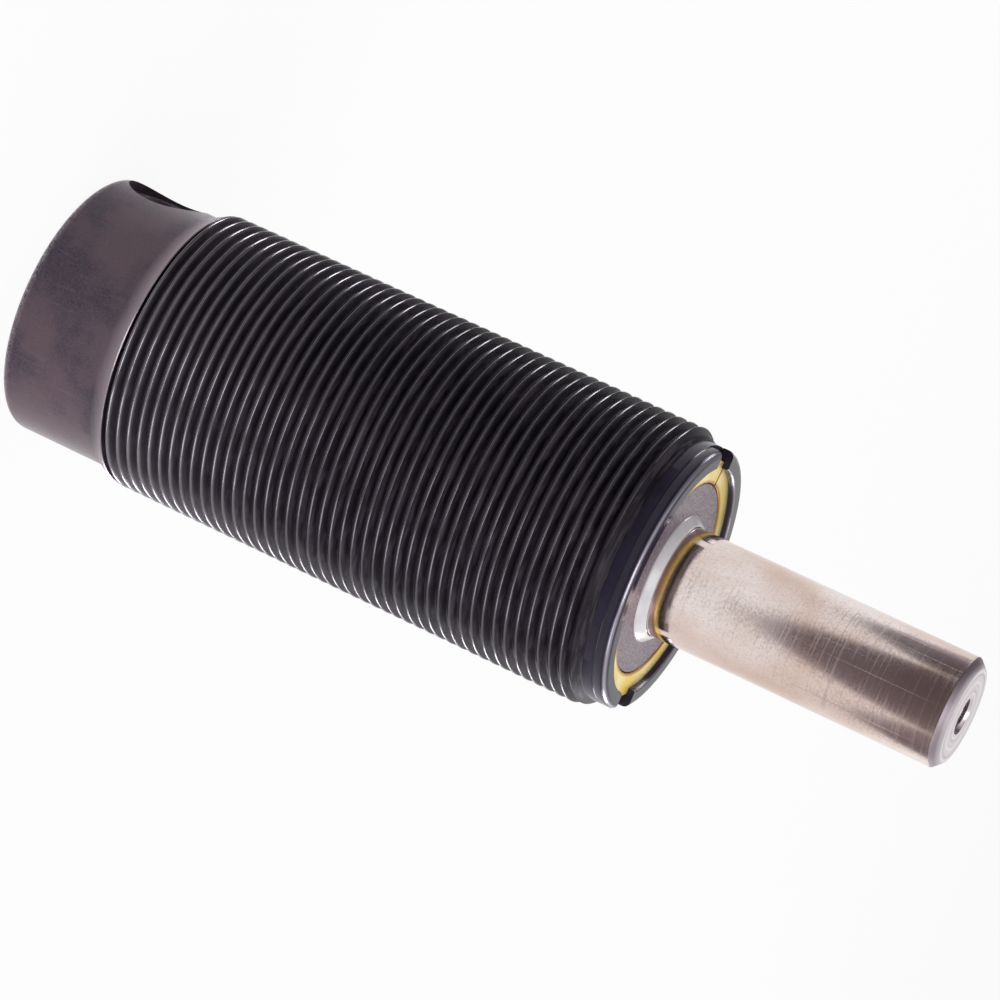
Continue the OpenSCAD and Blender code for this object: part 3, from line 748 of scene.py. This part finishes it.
# Orange-brown along the inner edge: painted shade.
painted_inner_shade = add(tree, "ShaderNodeMapRange", {
    "Value": radius, "From Min": ring_inner_r + 0.5 * mm, "From Max": ring_inner_r + 0.1 * mm,
}).outputs["Result"]
colour = add(tree, "ShaderNodeMixRGB", {
    "Fac": painted_inner_shade, "Color1": plate, "Color2": linear("#b07a30"),
}).outputs["Color"]
rough = add(tree, "ShaderNodeMapRange", {
    "Value": grains, "From Min": 0.3, "From Max": 0.7, "To Min": 0.35, "To Max": 0.5,
}).outputs["Result"]
bump = add(tree, "ShaderNodeBump", {"Height": grains, "Strength": 0.3, "Distance": 0.03 * mm})
shader = add(tree, "ShaderNodeBsdfPrincipled", {
    "Base Color": colour, "Metallic": 0.5, "Roughness": rough, "Normal": bump.outputs["Normal"],
})
add(tree, "ShaderNodeOutputMaterial", {"Surface": shader.outputs["BSDF"]})
split_ring.data.materials.append(yellow_zinc)
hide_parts("retaining_ring")
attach(split_ring, "cylinder")

# Rod wiper: a pale polyurethane ring snapped into a groove of the housing. Its conical lip hugs the
# rod and keeps dirt out.
wiper_low, wiper_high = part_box("rod_wiper")
lip_r = 7.06 * mm
lip_relief = 0.24 * mm
lip_tip_r = 7.3 * mm
lip_round = 0.08 * mm
wiper_r = wiper_high.x
cone_foot_r = 8.25 * mm
cone_foot_round = 0.2 * mm
relief_drop = 0.5 * mm
wiper_outline = [
    (lip_r + lip_relief, wiper_low.z),
    (wiper_r, wiper_low.z),
    (wiper_r, wiper_groove_top),
    (cone_foot_r, wiper_groove_top),
    (cone_foot_r, face_z),
    (cone_foot_r - cone_foot_round / 2, face_z + cone_foot_round),
    (lip_tip_r + lip_round, wiper_high.z - lip_round),
    (lip_tip_r, wiper_high.z),
    (lip_r + lip_round, wiper_high.z),
    (lip_r, wiper_high.z - lip_round),
    (lip_r, face_z),
    (lip_r + lip_relief, face_z - relief_drop),
]
wiper_points = []
wiper_faces = []
wiper_circles = revolve(wiper_points, wiper_faces, wiper_outline, gland_sides)
bridge(wiper_faces, wiper_circles[-1], wiper_circles[0])
wiper = new_piece("wiper_lip", wiper_points, wiper_faces)
shade(wiper, 50)
keep_flat(wiper)

# Moulded polyurethane: pale grey-white and shiny, with a soft uneven skin.
polyurethane, tree, place = new_material("moulded_polyurethane")
clouds = add(tree, "ShaderNodeTexNoise", {
    "Vector": place, "Scale": 1 / (1.5 * mm), "Detail": 3,
}).outputs["Fac"]
colour = add(tree, "ShaderNodeMixRGB", {
    "Fac": clouds, "Color1": linear("#d8d7d8"), "Color2": linear("#eae9ea"),
}).outputs["Color"]
bump = add(tree, "ShaderNodeBump", {"Height": clouds, "Strength": 0.15, "Distance": 0.05 * mm})
shader = add(tree, "ShaderNodeBsdfPrincipled", {
    "Base Color": colour, "Roughness": 0.22, "IOR": 1.5, "Normal": bump.outputs["Normal"],
})
add(tree, "ShaderNodeOutputMaterial", {"Surface": shader.outputs["BSDF"]})
wiper.data.materials.append(polyurethane)
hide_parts("rod_wiper")
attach(wiper, "cylinder")

# Piston rod: a hardened steel rod, ground round and polished, that carries the die's load on its flat
# end. A small threaded hole in that end takes a screw for pulling the rod out.
rod_low, rod_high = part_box("piston_rod")
rod_r = rod_high.x
rod_top = rod_high.z
rod_bevel = 1 * mm
bevel_round = 0.12 * mm
foot_bevel = 0.6 * mm
keeper_low = rod_low.z + 1.4 * mm
keeper_high = keeper_low + 2.65 * mm
keeper_r = rod_r - 1.2 * mm
hole_r = 2.1 * mm
hole_mouth_r = hole_r + 0.3 * mm
hole_thread_r = 2.35 * mm
hole_pitch = 0.8 * mm
hole_flat = 0.05 * mm
hole_floor = rod_top - 12 * mm
hole_tip = hole_floor - hole_r * math.tan(math.radians(31))
hole_thread_high = rod_top - (hole_mouth_r - hole_thread_r)
hole_thread_low = hole_floor + 1 * mm
rod_sides = 160
rod_outline = [
    (0, rod_low.z),
    (rod_r - foot_bevel, rod_low.z),
    (rod_r, rod_low.z + foot_bevel),
    (rod_r, keeper_low),
    (keeper_r, keeper_low),
    (keeper_r, keeper_high),
    (rod_r, keeper_high),
    (rod_r, rod_top - rod_bevel - bevel_round),
    (rod_r - bevel_round / 2, rod_top - rod_bevel),
    (rod_r - rod_bevel, rod_top - bevel_round / 2),
    (rod_r - rod_bevel - bevel_round, rod_top),
    (hole_mouth_r, rod_top),
    (hole_thread_r, hole_thread_high),
]
hole_outline = [(hole_r, hole_thread_low), (hole_r, hole_floor), (0, hole_tip)]
hole_form = [
    (-hole_flat, 0),
    (hole_flat, 0),
    (hole_pitch / 2 - hole_flat, hole_thread_r - hole_r),
    (hole_pitch / 2 + hole_flat, hole_thread_r - hole_r),
]


def hole_thread_radius(angle, z, depth):
    """The hole's thread: cut outwards from the drilled wall, and fading out above the hole's floor."""
    fade = hole_r + (z - hole_thread_low) * (hole_thread_r - hole_r) / hole_pitch
    return min(hole_r + depth, fade)


rod_points = []
rod_faces = []
rod_circles = revolve(rod_points, rod_faces, rod_outline, rod_sides)
hole_circles = revolve(rod_points, rod_faces, hole_outline, rod_sides)
thread(
    rod_points, rod_faces, hole_circles[0], rod_circles[-1], hole_thread_low, hole_thread_high,
    hole_pitch, hole_form, hole_thread_radius, inside=True,
)
rod = new_piece("polished_rod", rod_points, rod_faces)
shade(rod, 30)
keep_flat(rod)

# Ground and polished steel: a warm mirror, dulled in fine lines round the rod that the grinding wheel
# left, with a grainy stain and a few scratches along it from the wiper. The lines of about 0.05 mm are
# drawn at 0.2 mm and the stain's grains at 0.3 mm, so that they show.
polished, tree, place = new_material("ground_and_polished_steel")
line_place = add(tree, "ShaderNodeMapping", {
    "Vector": place, "Scale": (1 / (12 * mm), 1 / (12 * mm), 1 / (0.2 * mm)),
}).outputs["Vector"]
lines = add(tree, "ShaderNodeTexNoise", {"Vector": line_place, "Scale": 1, "Detail": 4}).outputs["Fac"]
tint_place = add(tree, "ShaderNodeMapping", {
    "Vector": place, "Scale": (1 / (9 * mm), 1 / (9 * mm), 1 / (14 * mm)),
}).outputs["Vector"]
clouds = add(tree, "ShaderNodeTexNoise", {
    "Vector": tint_place, "Scale": 1, "Detail": 3,
}).outputs["Fac"]
tint = add(tree, "ShaderNodeMapRange", {
    "Value": clouds, "From Min": 0.35, "From Max": 0.65,
}).outputs["Result"]
clear = add(tree, "ShaderNodeMixRGB", {
    "Fac": tint, "Color1": linear("#d0b8ac"), "Color2": linear("#e6dad6"),
}).outputs["Color"]
grains = add(tree, "ShaderNodeTexNoise", {
    "Vector": place, "Scale": 1 / (0.3 * mm), "Detail": 2,
}).outputs["Fac"]
stained = add(tree, "ShaderNodeMapRange", {
    "Value": grains, "From Min": 0.45, "From Max": 0.7, "To Min": 0, "To Max": 0.2,
}).outputs["Result"]
colour = add(tree, "ShaderNodeMixRGB", {
    "Fac": stained, "Color1": clear, "Color2": linear("#a8948c"),
}).outputs["Color"]
ground_in = add(tree, "ShaderNodeMapRange", {
    "Value": lines, "From Min": 0.54, "From Max": 0.68, "To Min": 0, "To Max": 0.09,
}).outputs["Result"]
scratch_place = add(tree, "ShaderNodeMapping", {
    "Vector": place, "Scale": (1 / (0.35 * mm), 1 / (0.35 * mm), 1 / (30 * mm)),
}).outputs["Vector"]
scratches = add(tree, "ShaderNodeTexNoise", {
    "Vector": scratch_place, "Scale": 1, "Detail": 1,
}).outputs["Fac"]
scratched = add(tree, "ShaderNodeMapRange", {
    "Value": scratches, "From Min": 0.71, "From Max": 0.78, "To Min": 0, "To Max": 0.17,
}).outputs["Result"]
dulled = add(tree, "ShaderNodeMath", {0: ground_in, 1: scratched}, operation="ADD").outputs["Value"]
grainy = add(tree, "ShaderNodeMapRange", {
    "Value": grains, "From Min": 0.3, "From Max": 0.7, "To Min": 0.06, "To Max": 0.13,
}).outputs["Result"]
rough = add(tree, "ShaderNodeMath", {0: dulled, 1: grainy}, operation="ADD").outputs["Value"]
bump = add(tree, "ShaderNodeBump", {"Height": lines, "Strength": 0.03, "Distance": 0.02 * mm})
shader = add(tree, "ShaderNodeBsdfPrincipled", {
    "Base Color": colour, "Metallic": 1, "Roughness": rough, "Normal": bump.outputs["Normal"],
})
add(tree, "ShaderNodeOutputMaterial", {"Surface": shader.outputs["BSDF"]})

# Faced steel: the rod's end, bevel and hole, turned and not ground. The tool left rings round the
# middle, which catch the light as thin lines, and the bevel is darker and rougher. The rings of
# about 0.1 mm are drawn 0.5 mm apart, so that they show.
faced, tree, place = new_material("faced_steel")
flat = add(tree, "ShaderNodeMapping", {"Vector": place, "Scale": (1, 1, 0)}).outputs["Vector"]
radius = add(tree, "ShaderNodeVectorMath", {0: flat}, operation="LENGTH").outputs["Value"]
along = add(tree, "ShaderNodeCombineXYZ", {"X": radius}).outputs["Vector"]
rings = add(tree, "ShaderNodeTexNoise", {
    "Vector": along, "Scale": 1 / (0.5 * mm), "Detail": 3,
}).outputs["Fac"]
contrast = add(tree, "ShaderNodeMapRange", {
    "Value": rings, "From Min": 0.35, "From Max": 0.65,
}).outputs["Result"]
clear = add(tree, "ShaderNodeMixRGB", {
    "Fac": contrast, "Color1": linear("#aca3a8"), "Color2": linear("#e2dadd"),
}).outputs["Color"]
# The bevel is drawn darker and rougher than the face.
bevel_darkening = add(tree, "ShaderNodeMapRange", {
    "Value": radius, "From Min": rod_r - rod_bevel - bevel_round, "From Max": rod_r - rod_bevel / 2,
}).outputs["Result"]
colour = add(tree, "ShaderNodeMixRGB", {
    "Fac": bevel_darkening, "Color1": clear, "Color2": linear("#857b80"),
}).outputs["Color"]
rough = add(tree, "ShaderNodeMapRange", {
    "Value": bevel_darkening, "To Min": 0.3, "To Max": 0.45,
}).outputs["Result"]
bump = add(tree, "ShaderNodeBump", {"Height": rings, "Strength": 0.4, "Distance": 0.03 * mm})
shader = add(tree, "ShaderNodeBsdfPrincipled", {
    "Base Color": colour, "Metallic": 1, "Roughness": rough, "Normal": bump.outputs["Normal"],
})
add(tree, "ShaderNodeOutputMaterial", {"Surface": shader.outputs["BSDF"]})
rod.data.materials.append(polished)
rod.data.materials.append(faced)
for face in rod.data.polygons:
    bevelled = face.center.z > rod_top - rod_bevel - bevel_round
    end = bevelled and face.normal.z > 0.1 or Vector(face.center.xy).length < hole_mouth_r
    face.material_index = 1 if end else 0
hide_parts("piston_rod")
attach(rod, "rod")

# Piston: a steel collar on the rod's inner end that stops the rod under the housing. Two half rings
# lock it to the rod, a wire ring holds them in, and a split ring of filled PTFE runs on the bore.

# Bronze-filled PTFE: dull brown with fine tool rings.
filled_ptfe = turned_finish(
    "bronze_filled_ptfe", light="#6b5643", dark="#4f3f31", metallic=0, roughness=0.5, grain=0.3 * mm,
)
finish_node(turned_steel, "piston", "piston_keepers")
finish_node(filled_ptfe, "piston_guide_ring")
finish_node(spring_wire, "keeper_ring")

# Studio: a white table that ends in front of and beside the spring, with a dim room beyond it that
# polished steel mirrors, and a plain white background. The table's front edge is bowed, and the rod
# mirrors it as the curved side of a dark flame.
view_turn = math.radians(8)
view_rise = math.radians(17.9)
view_distance = 530 * mm
towards = Vector((-math.sin(view_turn), -math.cos(view_turn), 0))
aside = Vector((math.cos(view_turn), -math.sin(view_turn), 0))
look_point = Vector((0, 0, 60.5 * mm))
table_front = 397 * mm
table_left = 480 * mm
table_right = 508 * mm
table_back = 2000 * mm
table_bow = 1380 * mm
front_steps = 24
table_glow = 0.92
table_edge = [-aside * table_left - towards * table_back]
for i in range(front_steps + 1):
    across = -table_left + (table_left + table_right) * i / front_steps
    bowed = table_front - table_bow + math.sqrt(table_bow ** 2 - across ** 2)
    table_edge.append(aside * across + towards * bowed)
table_edge.append(aside * table_right - towards * table_back)
table = new_piece("white_table", [tuple(c) for c in table_edge], [range(len(table_edge))])
# Matt white laminate: even white to the eye, with a faint shadow under the spring.
table_white, tree, place = new_material("matt_white_table")
seen = add(tree, "ShaderNodeLightPath", {})
direct = add(tree, "ShaderNodeMath", {
    0: seen.outputs["Is Camera Ray"], 1: seen.outputs["Is Glossy Ray"],
}, operation="MAXIMUM").outputs["Value"]
share = add(tree, "ShaderNodeMath", {0: direct, 1: table_glow}, operation="MULTIPLY").outputs["Value"]
matt = add(tree, "ShaderNodeBsdfDiffuse", {"Color": linear("#f4f4f4")}).outputs["BSDF"]
glow = add(tree, "ShaderNodeEmission", {"Color": linear("#ffffff"), "Strength": 1}).outputs["Emission"]
surface = add(tree, "ShaderNodeMixShader", {0: share, 1: matt, 2: glow}).outputs["Shader"]
add(tree, "ShaderNodeOutputMaterial", {"Surface": surface})
table.data.materials.append(table_white)

# Dim room: a grey floor and two walls that the camera doesn't see. Only the bright steel shows them,
# as its dark parts.
room_left = 1.2
room_front = 1.2
room_right = 4
room_back = 4
room_drop = 5 * mm
wall_height = 1.6
room_plan = [
    (-room_left, room_back), (-room_left, -room_front),
    (room_right, -room_front), (room_right, room_back),
]
room_points = [(x, y, z) for z in (-room_drop, wall_height) for x, y in room_plan]
room = new_piece("dim_room", room_points, [(0, 1, 2, 3), (0, 4, 5, 1), (1, 5, 6, 2)])
# Matt wall paint: plain mid grey.
room_dim, tree, place = new_material("dim_room_walls")
matt = add(tree, "ShaderNodeBsdfDiffuse", {"Color": linear("#878087")}).outputs["BSDF"]
add(tree, "ShaderNodeOutputMaterial", {"Surface": matt})
room.data.materials.append(room_dim)
room.visible_camera = False

# Background: white to the eye and in reflections, and half as strong as light on the spring.
fill_light = 0.5
world = bpy.data.worlds.new("studio")
bpy.context.scene.world = world
world.use_nodes = True
tree = world.node_tree
tree.nodes.clear()
seen = add(tree, "ShaderNodeLightPath", {})
direct = add(tree, "ShaderNodeMath", {
    0: seen.outputs["Is Camera Ray"], 1: seen.outputs["Is Glossy Ray"],
}, operation="MAXIMUM").outputs["Value"]
direct = add(tree, "ShaderNodeMath", {
    0: direct, 1: seen.outputs["Is Transmission Ray"],
}, operation="MAXIMUM").outputs["Value"]
strength = add(tree, "ShaderNodeMapRange", {
    "Value": direct, "To Min": fill_light, "To Max": 1,
}).outputs["Result"]
surface = add(tree, "ShaderNodeBackground", {
    "Color": linear("#ffffff"), "Strength": strength,
}).outputs["Background"]
add(tree, "ShaderNodeOutputWorld", {"Surface": surface})


# Soft boxes: two large ones in front light the spring, and two small ones behind it draw the bright
# lines along the thread's crests.
def soft_box(name, place, width, radiance, colour):
    """A square soft light that faces the spring."""
    lamp = bpy.data.lights.new(name, "AREA")
    lamp.shape = "SQUARE"
    lamp.size = width
    lamp.energy = math.pi * width * width * radiance
    lamp.color = linear(colour)[:3]
    made = bpy.data.objects.new(name, lamp)
    made.location = place
    made.rotation_euler = (look_point - Vector(place)).to_track_quat("-Z", "Y").to_euler()
    bpy.context.scene.collection.objects.link(made)


soft_box("front_top", place=(0.1, -0.4, 0.8), width=0.4, radiance=4.5, colour="#fbfaff")
soft_box("right_front", place=(0.55, -0.3, 0.4), width=0.4, radiance=3.4, colour="#fffafc")
soft_box("right_back", place=(0.5, 0.42, 0.15), width=0.2, radiance=10, colour="#fdfaff")
soft_box("left_back", place=(-0.5, 0.42, 0.15), width=0.2, radiance=10, colour="#fdfaff")

# Camera: where the photograph was taken from, with the picture turned so that the spring lies across
# it and points down to the right.
lens = bpy.data.cameras.new("camera")
lens.lens = 159.5
lens.sensor_width = 36
lens.clip_start = 0.01
camera = bpy.data.objects.new("camera", lens)
bpy.context.scene.collection.objects.link(camera)
back = towards * math.cos(view_rise) + Vector((0, 0, math.sin(view_rise)))
upward = back.cross(aside)
picture_turn = math.radians(25)
picture_right = upward * math.cos(picture_turn) - aside * math.sin(picture_turn)
picture_up = -upward * math.sin(picture_turn) - aside * math.cos(picture_turn)
axes = Matrix((picture_right, picture_up, back)).transposed().to_4x4()
camera.matrix_world = Matrix.Translation(look_point + back * view_distance) @ axes
bpy.context.scene.camera = camera
bpy.context.scene.view_settings.view_transform = "Standard"
